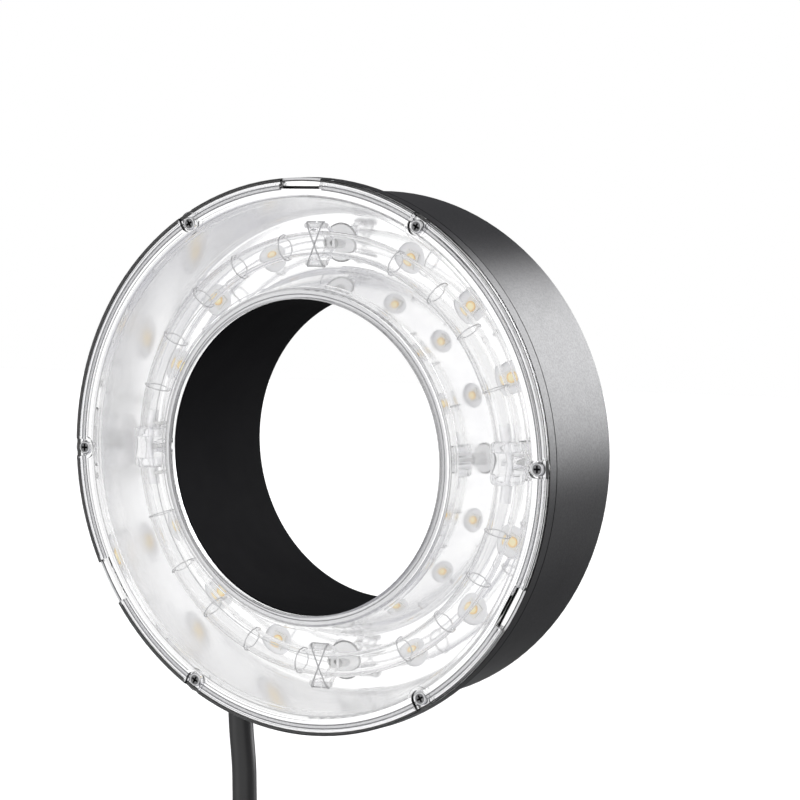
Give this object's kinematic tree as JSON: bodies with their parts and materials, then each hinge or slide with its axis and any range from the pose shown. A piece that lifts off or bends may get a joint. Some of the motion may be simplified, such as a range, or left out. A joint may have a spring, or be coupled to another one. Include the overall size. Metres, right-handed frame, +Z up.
{
  "type": "ring flash head",
  "caption": "Ring flash head: black drum round a lens opening, polished trough with half-ring tubes and modelling lights behind a clear screwed cover, and a coiled cord with its plug.",
  "frame": {"origin": "on the lens axis, in the plane of the rear face, at the centre of the bracket holes", "axes": "+Y along the lens axis towards the rear, so the front faces -Y; +Z up as the head hangs in use; +X to the right of someone who looks at the front"},
  "size_m": [0.2158, 0.0554, 0.4229],
  "materials": {
    "clear_cover": "polished clear plastic",
    "clear_moulding": "clear moulded plastic",
    "tube_glass": "clear quartz",
    "black_shell": "satin black paint",
    "throat_black": "matte black",
    "rear_black": "fine-grained black",
    "polished_trough": "mirror-polished",
    "screw_steel": "bright zinc",
    "screw_black": "black oxide",
    "insert_brass": "turned",
    "electrode_metal": "tungsten",
    "trigger_metal": "nickel wire",
    "tie_metal": "nickel wire",
    "peg_white": "white ceramic look",
    "board_white": "white solder mask",
    "led_white": "white moulding",
    "led_yellow": "phosphor",
    "board_green": "green solder mask",
    "part_black": "moulded resin",
    "part_blue": "dipped resin",
    "part_green": "moulded",
    "lead_white": "silicone insulation",
    "core_grey": "insulation",
    "gland_black": "matte nylon",
    "cord_black": "satin black sheath",
    "strap_black": "woven strap",
    "plug_metal": "black anodised",
    "plug_core": "moulded",
    "contact_gold": "gold plated"
  },
  "bodies": {
    "head": {"front_cover": "clear_cover", "cover_screws": "screw_steel", "outer_shell": "black_shell", "throat_tube": "throat_black", "reflector": "polished_trough", "rear_cover": "rear_black", "rear_cover_screws": "screw_black", "bracket_inserts": "insert_brass", "flash_tube_upper": "tube_glass", "flash_tube_lower": "tube_glass", "tube_electrodes": "electrode_metal", "trigger_wire_upper": "trigger_metal", "trigger_wire_lower": "trigger_metal", "tube_post_top": "clear_moulding", "tube_post_bottom": "clear_moulding", "tie_pegs": "peg_white", "tie_wire_top": "tie_metal", "tie_wire_bottom": "tie_metal", "tube_socket_right": "clear_moulding", "tube_socket_left": "clear_moulding", "post_screws": "screw_steel", "led_board": "board_white", "led_packages": "led_white", "led_phosphors": "led_yellow", "board_nuts": "screw_steel", "control_board": "board_green", "board_screws": "screw_steel", "trigger_transformer": "part_black", "trigger_capacitor": "part_blue", "terminal_block": "part_green", "high_voltage_leads": "lead_white", "trigger_leads": "lead_white", "led_lead": "lead_white", "gland_body": "gland_black", "gland_nut": "gland_black", "cord_inner": "cord_black", "cord_cores": "core_grey", "cord": "cord_black", "cord_coil": "cord_black", "cord_tail": "cord_black", "cord_tie": "strap_black", "plug_boot": "cord_black", "plug_body": "plug_metal", "plug_insert": "plug_core", "plug_pins": "contact_gold"},
    "coupling_collar": {"plug_collar": "plug_metal"}
  },
  "joints": [
    {"name": "collar_spin", "type": "hinge", "parent": "head", "child": "coupling_collar", "pos_m": [-0.10966, -0.01295, -0.30909], "axis": [0, 0, 1], "continuous": true}
  ]
}
